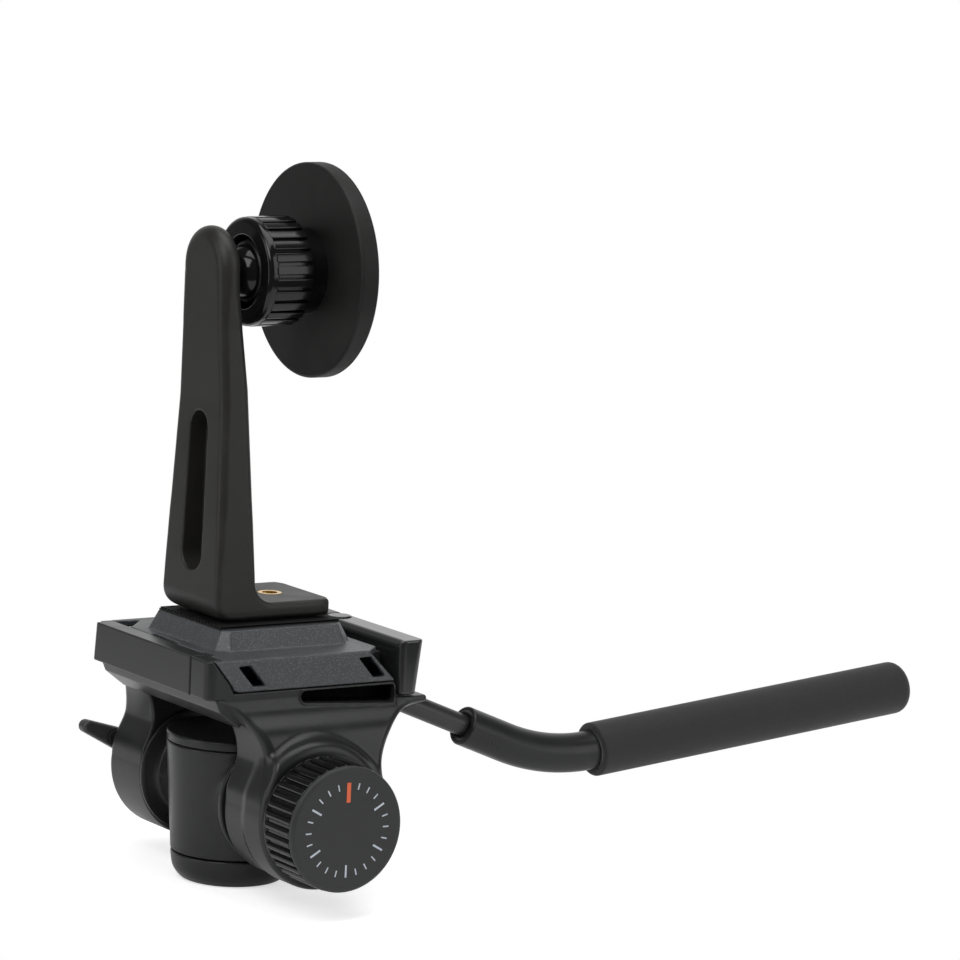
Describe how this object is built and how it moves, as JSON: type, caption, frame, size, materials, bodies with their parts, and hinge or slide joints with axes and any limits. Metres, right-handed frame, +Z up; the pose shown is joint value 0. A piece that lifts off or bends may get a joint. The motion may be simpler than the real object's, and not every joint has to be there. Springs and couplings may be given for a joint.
{
  "type": "fluid video head",
  "caption": "Tripod head that pans and tilts, with a quick-release plate, pan handle and an L bracket that holds a magnet disc on a ball joint.",
  "frame": {"origin": "on the pan axis, in the face that meets the tripod", "axes": "+Z up along the pan axis, +Y to the front, away from the handle, +X to the tilt lever's side"},
  "size_m": [0.1681, 0.4196, 0.295],
  "materials": {
    "black_plastic": "satin black moulded plastic with a fine grain",
    "grained_plastic": "grained dark grey moulded plastic",
    "bracket_plastic": "matte warm charcoal plastic",
    "gloss_black": "glossy black moulded plastic",
    "face_black": "matte black plastic",
    "liner": "white acetal",
    "rubber_pad": "matte black rubber",
    "rubber_coat": "matte black rubber",
    "foam": "closed black foam",
    "brass": "turned brass",
    "bronze": "sintered bronze",
    "steel": "zinc plated steel",
    "alloy": "turned aluminium",
    "black_metal": "satin black powder coat",
    "magnet_nickel": "nickel plated magnet"
  },
  "bodies": {
    "base": {"base_ring": "black_plastic", "tripod_bushing": "brass", "base_screws": "steel", "spindle": "steel", "thrust_washer": "liner", "spindle_washer": "steel", "spindle_nut": "steel"},
    "pan_head": {"barrel": "black_plastic", "pan_bush": "bronze", "barrel_cap": "black_plastic", "tilt_bush_near": "liner", "tilt_bush_far": "liner", "brake_pad": "bronze", "tilt_lock_stud": "steel", "stud_nut": "steel"},
    "tilt_head": {"tilt_frame": "black_plastic", "front_jaw": "black_plastic", "jaw_screws": "steel", "sleeve_near": "alloy", "sleeve_far": "alloy", "pressure_washer": "steel", "pivot_screw": "steel"},
    "pan_knob": {"lock_knob": "gloss_black", "knob_face": "face_black", "lock_screw": "steel"},
    "tilt_lock": {"tilt_lever": "black_plastic"},
    "quick_lever": {"release_lever": "black_plastic", "lever_cap": "face_black"},
    "plate": {"camera_plate": "grained_plastic", "plate_pad": "rubber_pad", "bracket": "bracket_plastic", "bracket_insert": "brass", "ball_stud": "gloss_black"},
    "plate_screw": {"camera_screw": "steel"},
    "ball_seat": {"rear_seat": "liner"},
    "ball_collar": {"split_collar": "liner"},
    "disc": {"socket_body": "gloss_black", "magnet_pot": "steel", "magnets": "magnet_nickel", "magnet_cover": "rubber_coat", "hub_screw": "steel"},
    "collar": {"collar_nut": "gloss_black"},
    "handle": {"handle_rod": "black_metal", "handle_sleeve": "black_metal", "grip_tube": "steel", "foam_grip": "foam"}
  },
  "joints": [
    {"name": "pan", "type": "hinge", "parent": "base", "child": "pan_head", "pos_m": [0, 0, 0], "axis": [0, 0, 1], "continuous": true},
    {"name": "tilt", "type": "hinge", "parent": "pan_head", "child": "tilt_head", "pos_m": [0, 0, 0.0385], "axis": [1, 0, 0], "range_deg": [-80, 60]},
    {"name": "pan_lock", "type": "hinge", "parent": "pan_head", "child": "pan_knob", "pos_m": [0, 0, 0.0385], "axis": [1, 0, 0], "range_deg": [-360, 0]},
    {"name": "tilt_lock", "type": "hinge", "parent": "pan_head", "child": "tilt_lock", "pos_m": [0, 0, 0.0385], "axis": [1, 0, 0], "range_deg": [-60, 60]},
    {"name": "quick_release", "type": "hinge", "parent": "tilt_head", "child": "quick_lever", "pos_m": [0.01, -0.054, 0.09], "axis": [0, 0, 1], "range_deg": [0, 85]},
    {"name": "plate_lift", "type": "slide", "parent": "tilt_head", "child": "plate", "axis": [0, 0, 1], "range_m": [0, 0.014]},
    {"name": "camera_screw_turn", "type": "hinge", "parent": "plate", "child": "plate_screw", "pos_m": [0, -0.0136, 0.105], "axis": [0, 0, 1], "continuous": true},
    {"name": "ball_nod", "type": "hinge", "parent": "plate", "child": "ball_seat", "pos_m": [0, -0.0035, 0.25098], "axis": [1, 0, 0], "range_deg": [-15, 15]},
    {"name": "ball_swing", "type": "hinge", "parent": "ball_seat", "child": "ball_collar", "pos_m": [0, -0.0035, 0.25098], "axis": [0, 0, 1], "range_deg": [-15, 15]},
    {"name": "disc_spin", "type": "hinge", "parent": "ball_collar", "child": "disc", "pos_m": [0, -0.0035, 0.25098], "axis": [0, 1, 0], "continuous": true},
    {"name": "collar_turn", "type": "hinge", "parent": "disc", "child": "collar", "pos_m": [0, -0.0035, 0.25098], "axis": [0, 1, 0], "range_deg": [0, 300]},
    {"name": "handle_turn", "type": "hinge", "parent": "tilt_head", "child": "handle", "pos_m": [0.038, -0.058, 0.07828], "axis": [0, -0.9239, -0.3827], "range_deg": [-90, 90]}
  ]
}
